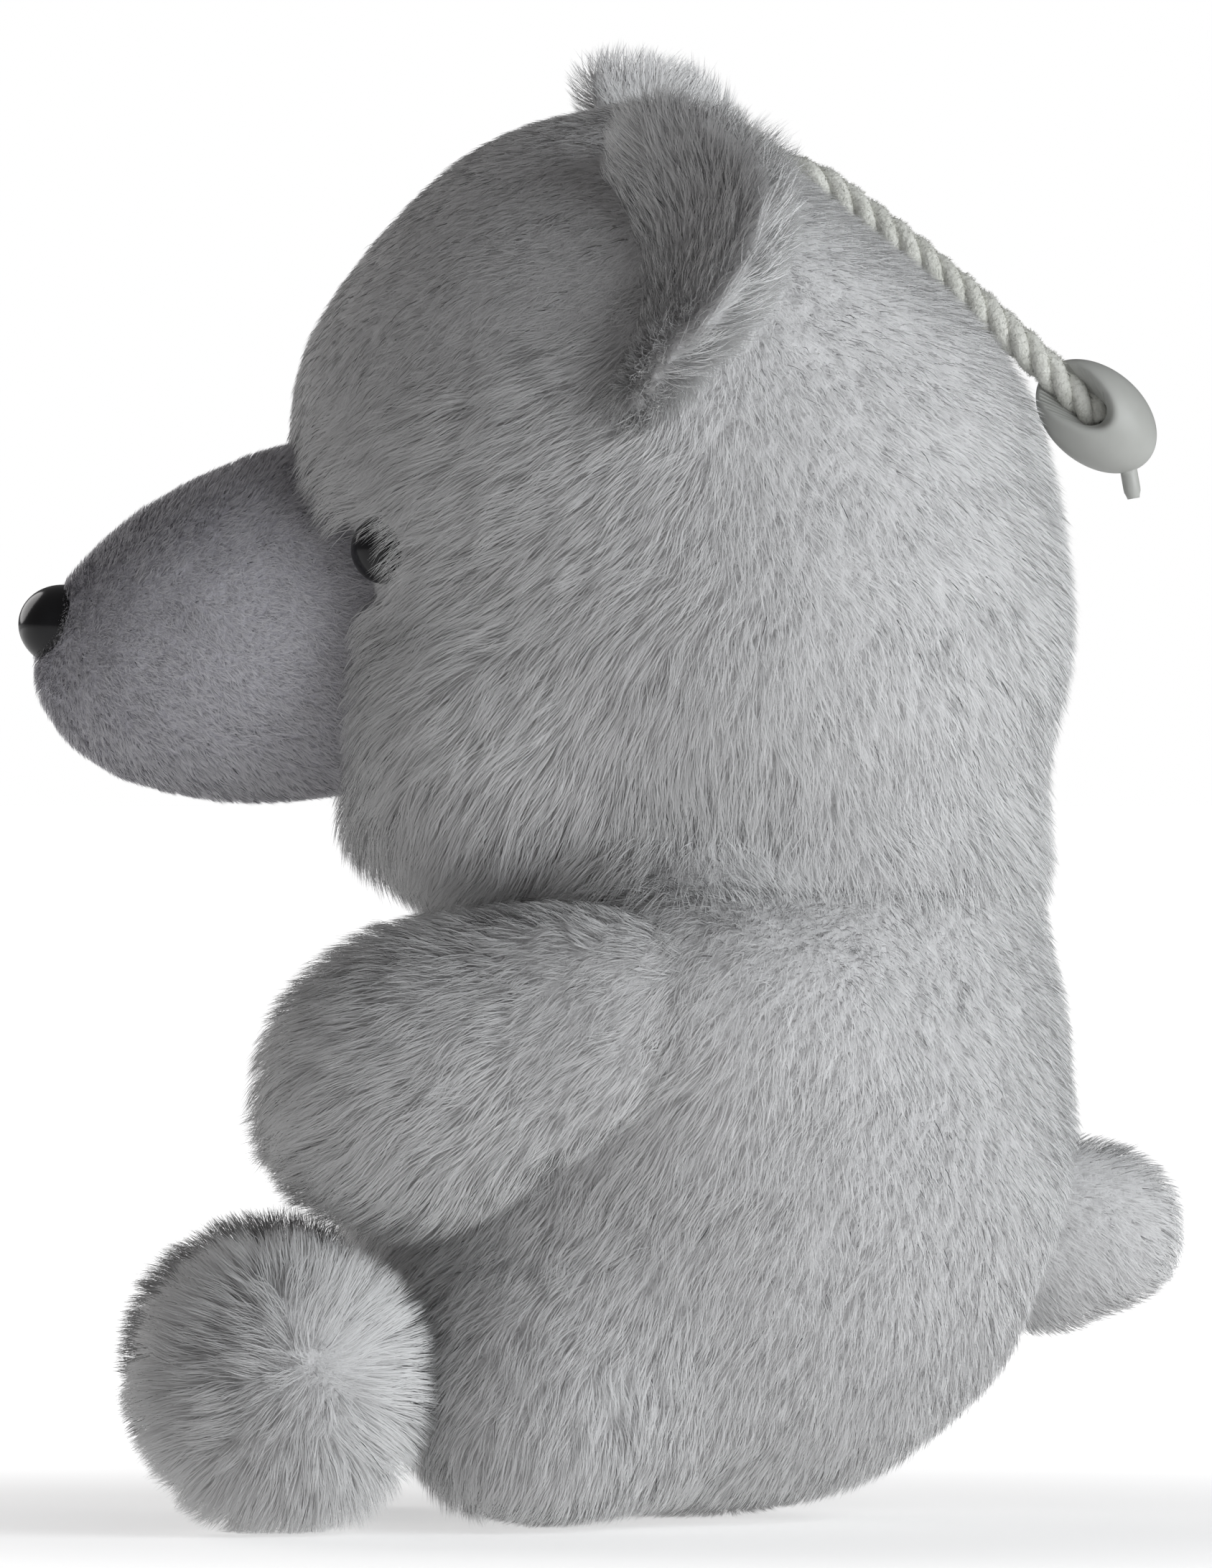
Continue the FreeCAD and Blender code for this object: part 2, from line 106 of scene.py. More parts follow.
def ellipsoid(centre, radii, turn=None):
    """Distance field of an ellipsoid; turn holds its own axes as rows."""
    centre, radii = np.asarray(centre, float), np.asarray(radii, float)

    def field(p):
        q = p - centre
        if turn is not None:
            q = q @ turn.T
        k0 = np.linalg.norm(q / radii, axis=1)
        k1 = np.linalg.norm(q / radii ** 2, axis=1)
        return k0 * (k0 - 1) / np.maximum(k1, 1e-9)

    return field


def half_space(point, out):
    """Distance from a plane, positive on its outer side."""
    return lambda p: (p - point) @ out


def join(a, b, k):
    """Smooth union, with a fillet about k wide."""
    def field(p):
        da, db = a(p), b(p)
        m = np.clip(0.5 + 0.5 * (db - da) / k, 0, 1)
        return db + (da - db) * m - k * m * (1 - m)
    return field


def meet(a, b, k):
    """Smooth intersection."""
    inside = join(lambda p: -a(p), lambda p: -b(p), k)
    return lambda p: -inside(p)


def axes(y_way, up=UP):
    """Rows: side, y_way, up, made square."""
    y = unit(y_way)
    x = unit(np.cross(y, up))
    return np.array([x, y, np.cross(x, y)])


def lobe(anchor, offset, radii):
    """Upright ellipsoid at an offset from an anchor."""
    return ellipsoid(anchor + np.array(offset), radii)


def lobes(anchor, offset, radii, k):
    """The same lobe on both sides, run together."""
    mirrored = (-offset[0], offset[1], offset[2])
    return join(lobe(anchor, offset, radii), lobe(anchor, mirrored, radii), k)


# The snout dips towards the nose. Its pile stands a little outside this cloth.
SNOUT_TILT = math.radians(14.5)
SNOUT_WAY = np.array([0.0, math.cos(SNOUT_TILT), math.sin(SNOUT_TILT)])
SNOUT_AXES = axes(SNOUT_WAY)
SNOUT = np.array([0.0, SNOUT_LOW[1] + 44.5, SNOUT_LOW[2] + 27.0])
SNOUT_FORM = ellipsoid(SNOUT, (21.3, 44.4, 24.3), SNOUT_AXES)


def head_form():
    """Skull flattened under the cord, with jowl, cheeks, brow and chin run into it."""
    slope = half_space(SKULL + SLOPE_OUT * SLOPE_DEPTH, SLOPE_OUT)
    skull = meet(ellipsoid(SKULL, (47.0, 48.0, 48.3)), slope, 6.0)
    occiput = meet(lobe(SKULL, (0, 14.9, -5.5), (43, 37.8, 36)), slope, 5.0)
    crown = meet(lobe(SKULL, (0, -6.1, 15.0), (31, 34.3, 34.3)), slope, 6.0)
    jowl = lobe(SKULL, (0, 10.9, -25.0), (46, 44.5, 34))
    cheeks = lobes(SKULL, (20, -18.1, -32.0), (19.5, 22.5, 19), 14)
    forehead = lobe(SKULL, (0, -17.1, 8.0), (29, 32.2, 25.0))
    chin = lobe(SKULL, (0, -22.0, -43.5), (33, 20.0, 13.3))
    form = join(join(skull, occiput, 8), crown, 6)
    form = join(form, jowl, 12)
    form = join(form, join(cheeks, forehead, 8), 8)
    return join(form, chin, 7)


def body_form():
    """Belly, hips and chest with the two shoulders and haunches run together."""
    belly = lobe(BODY, (0, -2.0, 0.5), (44.5, 46.8, 46.5))
    back = lobe(BODY, (0, 4.8, 1.5), (40, 44.8, 38))
    haunches = lobes(BODY, (28, -25.5, -27), (17, 17, 19), 4)
    chest = lobe(BODY, (0, 3.0, 24.5), (39, 43.4, 22))
    shoulders = lobes(BODY, (34, -3.5, 24.0), (18.5, 26, 18), 4)
    trunk = join(join(belly, back, 6), haunches, 15)
    return join(trunk, join(chest, shoulders, 10), 10)


NAPE = lobe(SKULL, (0, 22.9, -53.0), (34, 29.4, 27))
WHOLE = join(join(head_form(), body_form(), 3.0), NAPE, 9)
# Each cloth runs this far past the neck line, so that no gap opens there.
NECK_LAP = 3.0
SEAT_LIFT = 0.6
HEAD_FORM = meet(WHOLE, half_space(UP * (NECK_Z - NECK_LAP), -UP), 1.0)
below_neck = meet(WHOLE, half_space(UP * (NECK_Z + NECK_LAP), UP), 1.0)
BODY_FORM = meet(below_neck, half_space(UP * SEAT_LIFT, -UP), 3.0)


ARM_REACH = 34.0
PAW_SAG = {"left": 0.8, "right": 4.0}


def arm_form(side, sign):
    """Sleeve and paw, their middle, and the way from the paw to the shoulder. The right paw hangs lower."""
    pivot = joint(f"arm_{side}_lift")[0]
    way = unit(np.array([sign * 0.2009, 0.945, 0.2588]))
    middle = pivot - way * ARM_REACH + UP * 1.0
    rows = axes(way)
    sleeve = ellipsoid(middle + LEFT * sign * 0.5 + UP * 1.2, (11.5, 31.0, 16.8), rows)
    paw = ellipsoid(middle - way * 15.0 - UP * PAW_SAG[side], (12.4, 17.0, 16.8), rows)
    return join(sleeve, paw, 8), middle, way


def foot_form(sign):
    """Round foot, flat where it rests, and its middle."""
    middle = (FOOT_LOW + FOOT_HIGH) / 2 * np.array([sign, 1, 1]) + np.array([0, 1.4, -0.6])
    ball = ellipsoid(middle, (16.2, 16.9, 17.2))
    return meet(ball, half_space(UP * 0.8, -UP), 2.5), middle


def tail_form():
    """Ball of the tail run into its wider root, and its middle."""
    middle = np.array([0.0, TAIL_HIGH[1] - 13.0, (TAIL_LOW[2] + TAIL_HIGH[2]) / 2 - 1.2])
    ball = lobe(middle, (0, -1.0, -0.5), (10.5, 10.8, 10.6))
    root = lobe(middle, (0, -10.0, -1.5), (12.0, 10.0, 13.0))
    return join(ball, root, 6), middle


# ---------------------------------------------------------------- meshes

def cube_sphere(n):
    """Unit directions and quads of a cube sphere with n cells along each edge."""
    t = np.tan((np.linspace(0, 1, n + 1) - 0.5) * math.pi / 2)
    a, b = np.meshgrid(t, t, indexing="ij")
    one = np.ones_like(a)
    sides = [(one, a, b), (-one, b, a), (b, one, a), (a, -one, b), (a, b, one), (b, a, -one)]
    points = np.concatenate([np.stack(s, -1).reshape(-1, 3) for s in sides])
    points = unit(points)
    grid = np.arange((n + 1) ** 2).reshape(n + 1, n + 1)
    cell = np.stack([grid[:-1, :-1], grid[1:, :-1], grid[1:, 1:], grid[:-1, 1:]], -1).reshape(-1, 4)
    faces = np.concatenate([cell + k * (n + 1) ** 2 for k in range(6)])
    key = np.round(points * 1e5).astype(np.int64)
    _, first, where = np.unique(key, axis=0, return_index=True, return_inverse=True)
    return points[first], where.reshape(-1)[faces]


SEARCH_STEPS, HALVINGS = 66, 22


def wrap(field, centre, n=36, reach=130.0):
    """Outermost surface of a form along each direction from its centre: stepped to, then halved."""
    ways, faces = cube_sphere(n)
    low, high = np.zeros(len(ways)), np.full(len(ways), reach)
    steps = np.linspace(0, reach, SEARCH_STEPS)
    for a, b in zip(steps[:-1], steps[1:]):
        crossing = (field(centre + ways * a) < 0) & (field(centre + ways * b) >= 0)
        low[crossing], high[crossing] = a, b
    for _ in range(HALVINGS):
        mid = (low + high) / 2
        inside = field(centre + ways * mid[:, None]) < 0
        low[inside] = mid[inside]
        high[~inside] = mid[~inside]
    return centre + ways * ((low + high) / 2)[:, None], faces


def new_mesh(name, points, faces):
    """Mesh object from points in millimetres and a list or array of faces."""
    mesh = bpy.data.meshes.new(name)
    mesh.from_pydata((np.asarray(points) * MM).tolist(), [], [list(map(int, f)) for f in faces])
    mesh.update()
    mesh.shade_smooth()
    obj = bpy.data.objects.new(name, mesh)
    bpy.context.scene.collection.objects.link(obj)
    return obj


def mesh_points(obj):
    co = np.zeros(len(obj.data.vertices) * 3, np.float32)
    obj.data.vertices.foreach_get("co", co)
    return co.reshape(-1, 3).astype(float) / MM


def set_points(obj, points):
    obj.data.vertices.foreach_set("co", (points * MM).astype(np.float32).ravel())
    obj.data.update()


def apply_modifiers(obj):
    graph = bpy.context.evaluated_depsgraph_get()
    done = bpy.data.meshes.new_from_object(obj.evaluated_get(graph))
    old = obj.data
    obj.modifiers.clear()
    obj.data = done
    bpy.data.meshes.remove(old)
    obj.data.name = obj.name


# ---------------------------------------------------------------- sewn, stuffed fabric

SIM_FRAMES = 20
STUFFING_PRESSURE = 4.0
# How many seam widths away the hold of a seam ends, and the share of the swell that a held point loses.
SEAM_REACH, SEAM_TIGHT = 1.3, 0.75


def seam_hold(points, seams):
    """1 on a seam, falling to 0 beside it. A seam is a field that is 0 along it, and its width."""
    hold = np.zeros(len(points))
    for seam, width in seams:
        hold = np.maximum(hold, np.clip(SEAM_REACH - np.abs(seam(points)) / width, 0, 1))
    return hold


def inflate(obj, hold):
    """Cloth under the pressure of its stuffing, pinned by hold, run and applied."""
    group = obj.vertex_groups.new(name="seams")
    levels = np.round(hold, 1)
    for level in np.unique(levels):
        if level > 0:
            group.add(np.flatnonzero(levels == level).tolist(), float(level), "REPLACE")
    cloth = obj.modifiers.new("cloth", "CLOTH")
    cloth.settings.quality = 4
    cloth.settings.mass = 0.25
    cloth.settings.tension_stiffness = 18
    cloth.settings.compression_stiffness = 12
    cloth.settings.shear_stiffness = 8
    cloth.settings.bending_stiffness = 0.6
    cloth.settings.use_pressure = True
    cloth.settings.uniform_pressure_force = STUFFING_PRESSURE
    cloth.settings.effector_weights.gravity = 0
    cloth.settings.vertex_group_mass = "seams"
    cloth.settings.pin_stiffness = 1.0
    cloth.collision_settings.use_collision = False
    cloth.point_cache.frame_start = 1
    cloth.point_cache.frame_end = SIM_FRAMES
    scene = bpy.context.scene
    scene.frame_end = SIM_FRAMES
    for number in range(1, SIM_FRAMES + 1):
        scene.frame_set(number)
    apply_modifiers(obj)
    scene.frame_set(1)


def stuff(obj, seams, voxel=4.6, swell=2.4):
    """Sew and stuff a form. No point moves further than swell, and one on a seam moves much less."""
    remesh = obj.modifiers.new("remesh", "REMESH")
    remesh.mode = "VOXEL"
    remesh.voxel_size = voxel * MM
    remesh.use_smooth_shade = True
    apply_modifiers(obj)
    start = mesh_points(obj)
    hold = seam_hold(start, seams)
    inflate(obj, hold)
    move = mesh_points(obj) - start
    size = np.linalg.norm(move, axis=1, keepdims=True)
    limit = swell * (1 - SEAM_TIGHT * hold[:, None])
    set_points(obj, start + move * np.minimum(1, limit / np.maximum(size, 1e-6)))
    subdivide = obj.modifiers.new("subdivide", "SUBSURF")
    subdivide.levels = 1
    subdivide.render_levels = 1
    apply_modifiers(obj)
    obj.data.shade_smooth()


def skin(name, field, centre, seams=(), n=36, **options):
    """Sewn and stuffed skin of a form; n is the number of cells along a sixth of it before remeshing."""
    points, faces = wrap(field, np.asarray(centre, float), n)
    obj = new_mesh(name, points, faces)
    stuff(obj, seams, **options)
    return obj


# ---------------------------------------------------------------- materials

def node_material(name, roughness=0.6, specular=0.3, sheen=0.0):
    material = bpy.data.materials.new(name)
    material.use_nodes = True
    tree = material.node_tree
    shader = tree.nodes["Principled BSDF"]
    shader.inputs["Roughness"].default_value = roughness
    shader.inputs["Specular IOR Level"].default_value = specular
    shader.inputs["Sheen Weight"].default_value = sheen
    return material, tree, shader


def ramp(tree, stops):
    node = tree.nodes.new("ShaderNodeValToRGB")
    elements = node.color_ramp.elements
    while len(elements) < len(stops):
        elements.new(0.5)
    for element, (at, colour) in zip(elements, stops):
        element.position = at
        element.color = (*colour, 1)
    return node


def noise(tree, scale, detail=3.0, roughness=0.6):
    node = tree.nodes.new("ShaderNodeTexNoise")
    node.inputs["Scale"].default_value = scale
    node.inputs["Detail"].default_value = detail
    node.inputs["Roughness"].default_value = roughness
    place = tree.nodes.new("ShaderNodeTexCoord")
    tree.links.new(place.outputs["Object"], node.inputs["Vector"])
    return node


def bump(tree, shader, source, strength, distance):
    node = tree.nodes.new("ShaderNodeBump")
    node.inputs["Strength"].default_value = strength
    node.inputs["Distance"].default_value = distance
    tree.links.new(source, node.inputs["Height"])
    tree.links.new(node.outputs["Normal"], shader.inputs["Normal"])


def cloth_material(name, dark, light):
    """Knitted backing seen between the fibres: mottled, matt, with a fine nap."""
    material, tree, shader = node_material(name, 0.95, 0.1, 0.3)
    mottle = noise(tree, 260.0)
    colours = ramp(tree, [(0.3, dark), (0.7, light)])
    tree.links.new(mottle.outputs["Fac"], colours.inputs["Fac"])
    tree.links.new(colours.outputs["Color"], shader.inputs["Base Color"])
    bump(tree, shader, noise(tree, 1400.0, 2.0).outputs["Fac"], 0.6, 0.0006)
    return material


STRAND_COLUMNS = 64


def fibre_material(name, root, middle, tip, spread):
    """Pile fibre: darker at its root, and each column of strands a little different in tone."""
    material, tree, shader = node_material(name, 0.62, 0.22, 0.0)
    uv = tree.nodes.new("ShaderNodeUVMap")
    uv.uv_map = "OFBake"
    split = tree.nodes.new("ShaderNodeSeparateXYZ")
    tree.links.new(uv.outputs["UV"], split.inputs["Vector"])
    along = ramp(tree, [(0.0, root), (0.45, middle), (1.0, tip)])
    tree.links.new(split.outputs["Y"], along.inputs["Fac"])
    step = tree.nodes.new("ShaderNodeMath")
    step.operation = "MULTIPLY"
    step.inputs[1].default_value = STRAND_COLUMNS
    whole = tree.nodes.new("ShaderNodeMath")
    whole.operation = "FLOOR"
    tree.links.new(split.outputs["X"], step.inputs[0])
    tree.links.new(step.outputs[0], whole.inputs[0])
    random = tree.nodes.new("ShaderNodeTexWhiteNoise")
    random.noise_dimensions = "1D"
    tree.links.new(whole.outputs[0], random.inputs["W"])
    tone = tree.nodes.new("ShaderNodeMapRange")
    tone.inputs["To Min"].default_value = 1.0 - spread
    tone.inputs["To Max"].default_value = 1.0
    tree.links.new(random.outputs["Value"], tone.inputs["Value"])
    mix = tree.nodes.new("ShaderNodeMix")
    mix.data_type = "RGBA"
    mix.blend_type = "MULTIPLY"
    mix.inputs["Factor"].default_value = 1.0
    tree.links.new(along.outputs["Color"], mix.inputs["A"])
    tree.links.new(tone.outputs["Result"], mix.inputs["B"])
    tree.links.new(mix.outputs["Result"], shader.inputs["Base Color"])
    return material


def moulded_material(name, colour, shade, roughness, specular, grain=0.00002):
    """Moulded plastic: a faint cloudiness in the colour and a very fine surface ripple."""
    material, tree, shader = node_material(name, roughness, specular)
    colours = ramp(tree, [(0.35, shade), (0.65, colour)])
    tree.links.new(noise(tree, 120.0).outputs["Fac"], colours.inputs["Fac"])
    tree.links.new(colours.outputs["Color"], shader.inputs["Base Color"])
    bump(tree, shader, noise(tree, 500.0, 1.0).outputs["Fac"], 0.2, grain)
    return material


BACKING = cloth_material("plush_backing", (0.66, 0.655, 0.66), (0.78, 0.775, 0.78))
SNOUT_CLOTH = cloth_material("snout_velour", (0.54, 0.53, 0.575), (0.68, 0.67, 0.72))
LONG_PILE = fibre_material(
    "long_pile", (0.74, 0.735, 0.735), (0.87, 0.868, 0.868), (0.94, 0.938, 0.935), 0.10)
SHORT_PILE = fibre_material("short_pile", (0.66, 0.65, 0.675), (0.80, 0.79, 0.82), (0.88, 0.87, 0.90), 0.08)
CORD_YARN = cloth_material("cord_yarn", (0.66, 0.66, 0.61), (0.84, 0.84, 0.79))
CORD_PILE = fibre_material("cord_fuzz", (0.70, 0.70, 0.65), (0.80, 0.80, 0.75), (0.86, 0.86, 0.81), 0.08)
BLACK = moulded_material("black_gloss", (0.008, 0.008, 0.009), (0.014, 0.014, 0.016), 0.16, 0.5)
BEAD = moulded_material("bead_plastic", (0.50, 0.505, 0.48), (0.46, 0.465, 0.44), 0.42, 0.4)
WASHER = moulded_material("washer_plastic", (0.76, 0.76, 0.72), (0.68, 0.68, 0.64), 0.55, 0.4)


def dress(obj, material):
    obj.data.materials.clear()
    obj.data.materials.append(material)


# ---------------------------------------------------------------- pile fibres

# Share of the full number of fibres.
FULLNESS = 1.0
# No fibre comes lower than this.
ABOVE_FLOOR = 0.35
# Shortest and longest fibre, and how far their two angles and their twist vary, in radians.
LENGTH_SPREAD, ANGLE_SPREAD, TWIST_SPREAD = (0.78, 1.12), 0.12, 0.7
BREADTH_SPREAD = (0.75, 1.2)
# The lie of the pile wavers by about this angle over this distance.
WAVER, WAVER_SIZE = 0.22, 14.0
# Small clumps, and larger ones round them: spacing as a multiple of the clump's, and strength.
CLUMP_LEVELS = ((1.0, 1.0), (2.7, 0.5))
# Where another form presses on the pile, this share of its length and of its first angle is left.
PRESSED_LENGTH, PRESSED_RISE = 0.6, 0.45


def ripple(p, size, seed, count=7):
    """Smooth seeded noise, mostly from -1 to 1, that varies over about size millimetres."""
    rng = np.random.default_rng(seed)
    total = np.zeros(len(p))
    for _ in range(count):
        wave = unit(rng.normal(size=3)) * 2 * math.pi / size * rng.uniform(0.6, 1.5)
        total += np.sin(p @ wave + rng.uniform(0, 2 * math.pi))
    return total / math.sqrt(count)


def smooth(a, b, x):
    """0 before a, 1 after b, with an even start and end between them."""
    t = np.clip((x - a) / (b - a), 0, 1)
    return t * t * (3 - 2 * t)


def scatter(obj, per_mm2, rng):
    """Random roots over a mesh, with the surface normal at each."""
    mesh = obj.data
    mesh.calc_loop_triangles()
    tris = np.zeros(len(mesh.loop_triangles) * 3, np.int32)
    mesh.loop_triangles.foreach_get("vertices", tris)
    tris = tris.reshape(-1, 3)
    points = mesh_points(obj)
    normals = np.zeros(len(points) * 3, np.float32)
    mesh.vertices.foreach_get("normal", normals)
    normals = normals.reshape(-1, 3).astype(float)
    a, b, c = (points[tris[:, k]] for k in range(3))
    area = np.linalg.norm(np.cross(b - a, c - a), axis=1) / 2
    count = int(area.sum() * per_mm2)
    pick = rng.choice(len(tris), count, p=area / area.sum())
    u, v = rng.random((2, count))
    over = u + v > 1
    u[over], v[over] = 1 - u[over], 1 - v[over]
    u, v = u[:, None], v[:, None]
    roots = a[pick] * (1 - u - v) + b[pick] * u + c[pick] * v
    na, nb, nc = (normals[tris[pick, k]] for k in range(3))
    return roots, unit(na * (1 - u - v) + nb * u + nc * v)


def nearest(points, centres):
    tree = kdtree.KDTree(len(centres))
    for k, c in enumerate(centres):
        tree.insert(c, k)
    tree.balance()
    return np.array([tree.find(p)[1] for p in points])


def strand_paths(roots, normals, way, length, rise, lay, droop, stations):
    """Points along each fibre: it leaves the cloth at angle rise and ends at angle lay above it."""
    start = way * np.cos(rise)[:, None] + normals * np.sin(rise)[:, None]
    end = way * np.cos(lay)[:, None] + normals * np.sin(lay)[:, None]
    t = np.linspace(0, 1, stations)[None, :, None]
    size = length[:, None, None]
    paths = roots[:, None] + size * (start[:, None] * (t - t * t / 2) + end[:, None] * t * t / 2)
    return paths - UP * size * droop * t * t


def gather(roots, paths, number, pull, rng):
    """Draw each fibre's tip towards that of the nearest of some leading fibres."""
    count, stations = paths.shape[:2]
    lead = rng.choice(count, min(max(4, number), count), replace=False)
    mine = lead[nearest(roots, roots[lead])]
    share = (pull * rng.uniform(0.5, 1.2, count))[:, None, None]
    along = np.linspace(0, 1, stations)[None, :, None]
    return paths + (paths[mine] - paths) * share * along ** 1.4


# How far a fibre's shading normal leans from its own facing towards the cloth's.
SOFTNESS = 0.82


def ribbons(name, paths, across, width, normals, material, rng):
    """One mesh of flat tapering fibres, each ending in a point, with its tone and height in its UV layer.

    Their shading normals lean towards the cloth's, so that the pile lights as one soft surface.
    """
    count, stations = paths.shape[:2]
    body = stations - 1
    taper = np.linspace(1.0, 0.55, body)[None, :, None] * width[:, None, None] / 2
    left = paths[:, :body] - across[:, None] * taper
    right = paths[:, :body] + across[:, None] * taper
    verts = np.concatenate([np.stack([left, right], 2).reshape(count, -1, 3), paths[:, body:]], 1)
    per = 2 * body + 1
    quads = [[2 * k, 2 * k + 1, 2 * k + 3, 2 * k + 2] for k in range(body - 1)]
    pattern = np.array(sum(quads, []) + [2 * body - 2, 2 * body - 1, 2 * body])
    loops = (np.arange(count)[:, None] * per + pattern).ravel()
    sizes = np.tile([4] * (body - 1) + [3], count)
    starts = np.concatenate([[0], np.cumsum(sizes)[:-1]])
    mesh = bpy.data.meshes.new(name)
    mesh.vertices.add(count * per)
    mesh.vertices.foreach_set("co", (verts * MM).astype(np.float32).ravel())
    mesh.loops.add(len(loops))
    mesh.loops.foreach_set("vertex_index", loops.astype(np.int32))
    mesh.polygons.add(len(sizes))
    mesh.polygons.foreach_set("loop_start", starts.astype(np.int32))
    mesh.polygons.foreach_set("use_smooth", np.ones(len(sizes), bool))
    tone = (rng.integers(0, STRAND_COLUMNS, count) + 0.5) / STRAND_COLUMNS
    height = np.concatenate([np.repeat(np.arange(body), 2), [body]]) / body
    uv = np.empty((count, len(pattern), 2), np.float32)
    uv[:, :, 0] = tone[:, None]
    uv[:, :, 1] = np.clip(height[pattern], 0.01, 0.99)
    mesh.uv_layers.new(name="OFBake").data.foreach_set("uv", uv.ravel())
    mesh.update(calc_edges=True)
    mesh.materials.append(material)
    facing = unit(np.cross(across, paths[:, -1] - paths[:, 0]))
    facing = facing * np.where(np.sum(facing * normals, axis=1, keepdims=True) < 0, -1.0, 1.0)
    soft = unit(normals * SOFTNESS + facing * (1 - SOFTNESS))
    mesh.normals_split_custom_set_from_vertices(np.repeat(soft, per, axis=0).astype(np.float32))
    obj = bpy.data.objects.new(name, mesh)
    bpy.context.scene.collection.objects.link(obj)
    return obj


def pile(name, skins, seed, per_mm2, comb, length, rise=0.9, lay=0.2, droop=0.0, keep=None, press=(),
         width=0.12, clump=2.0, pull=0.4, stray=0.32, stations=4, split=None, material=None):
    """Pile over one or more skins, as one mesh for each label that split gives.

    comb is a function of root and normal. length, rise, lay and pull are each a number or such a function.
    Fibres are shorter and flatter where they come near a form in press, and gather towards the fibre that
    leads their clump.
    """
    rng = np.random.default_rng(seed)
    per_mm2 *= FULLNESS
    width = width / math.sqrt(FULLNESS)
    found = [scatter(s, per_mm2, rng) for s in skins]
    roots, normals = (np.concatenate(x) for x in zip(*found))
    if keep is not None:
        kept = keep(roots, normals)
        roots, normals = roots[kept], normals[kept]

    def value(f):
        return f(roots, normals) if callable(f) else np.full(len(roots), float(f))

    size, up, down, pull = value(length), value(rise), value(lay), value(pull)
    for other in press:
        free = smooth(-1.0, 5.0, other(roots + normals * 2.0))
        size = size * (PRESSED_LENGTH + (1 - PRESSED_LENGTH) * free)
        up = up * (PRESSED_RISE + (1 - PRESSED_RISE) * free)
        down = down * free
    size = size * rng.uniform(*LENGTH_SPREAD, len(roots))
    up = np.clip(up + rng.normal(0, ANGLE_SPREAD, len(roots)), 0.05, 1.5)
    down = np.clip(down + rng.normal(0, ANGLE_SPREAD, len(roots)), -0.1, 1.4)
    way = comb(roots, normals)
    way = unit(way - normals * np.sum(way * normals, axis=1, keepdims=True))
    turn = rng.normal(0, stray, len(roots)) + WAVER * ripple(roots, WAVER_SIZE, seed + 1)
    way = way * np.cos(turn)[:, None] + np.cross(normals, way) * np.sin(turn)[:, None]
    paths = strand_paths(roots, normals, way, size, up, down, droop, stations)
    for times, strength in CLUMP_LEVELS:
        area = (clump * times) ** 2
        paths = gather(roots, paths, int(len(roots) / (per_mm2 * area)), strength * pull, rng)
    paths[:, :, 2] = np.maximum(paths[:, :, 2], ABOVE_FLOOR)
    tip_way = unit(paths[:, -1] - paths[:, 0])
    flat = unit(np.cross(tip_way, normals))
    twist = rng.normal(0, TWIST_SPREAD, len(roots))[:, None]
    across = flat * np.cos(twist) + np.cross(tip_way, flat) * np.sin(twist)
    breadth = width * rng.uniform(*BREADTH_SPREAD, len(roots))
    group = np.zeros(len(roots), int) if split is None else split(roots, normals)
    labels = np.unique(group)
    made = []
    for label in labels:
        mine = group == label
        full = name if len(labels) == 1 else f"{name}_{label}"
        made.append(ribbons(full, paths[mine], across[mine], breadth[mine], normals[mine],
                            material or LONG_PILE, rng))
    return made


def sectors(count, centre=(0.0, 0.0)):
    """Split into equal sectors about a vertical line."""
    def split(p, n):
        angle = np.arctan2(p[:, 0] - centre[0], -(p[:, 1] - centre[1]))
        return ((angle / (2 * math.pi) + 0.5) * count).astype(int) % count
    return split


# ---------------------------------------------------------------- head, body and limbs

EYES = [np.array(sum(corners(f"eye_{side}"))) / 2 for side in ("left", "right")]
NOSE = sum(corners("nose")) / 2
ARMS = {side: arm_form(side, sign) for side, sign in SIDES}
FEET = {side: foot_form(sign) for side, sign in SIDES}
TAIL_FORM, TAIL = tail_form()
MIDDLE_SEAM = (half_space(np.zeros(3), LEFT), 3.0)
NECK_SEAM = (half_space(UP * NECK_Z, UP), 6.0)
TAIL_SEAM = (half_space(np.zeros(3), LEFT), 2.5)
SNOUT_SEAM = (half_space(SNOUT, SNOUT_AXES[0]), 2.0)
SOLE_DEPTH = 6.0
FINE_VOXEL = 3.6
# Points well inside the two forms, from which their surfaces are found.
HEAD_INSIDE, BODY_INSIDE = (0, -6, 130), (0, 0, 48)

head_skin = skin("head_skin", HEAD_FORM, HEAD_INSIDE, [MIDDLE_SEAM, NECK_SEAM], n=40)
body_skin = skin("body_skin", BODY_FORM, BODY_INSIDE, [MIDDLE_SEAM, NECK_SEAM], n=40)
snout_skin = skin("snout_skin", SNOUT_FORM, SNOUT, [SNOUT_SEAM], n=26, voxel=FINE_VOXEL, swell=1.2)
arm_skins, foot_skins = {}, {}
for side, sign in SIDES:
    form, middle, way = ARMS[side]
    seam = (half_space(middle, axes(way)[0]), 2.5)
    arm_skins[side] = skin(f"arm_skin_{side}", form, middle, [seam], n=24, voxel=FINE_VOXEL, swell=1.5)
    form, middle = FEET[side]
    seam = (half_space(middle - UP * SOLE_DEPTH, UP), 2.5)
    foot_skins[side] = skin(f"foot_skin_{side}", form, middle, [seam], n=22, voxel=FINE_VOXEL, swell=1.2)
tail_skin = skin("tail_skin", TAIL_FORM, TAIL, [TAIL_SEAM], n=20, voxel=FINE_VOXEL, swell=1.2)

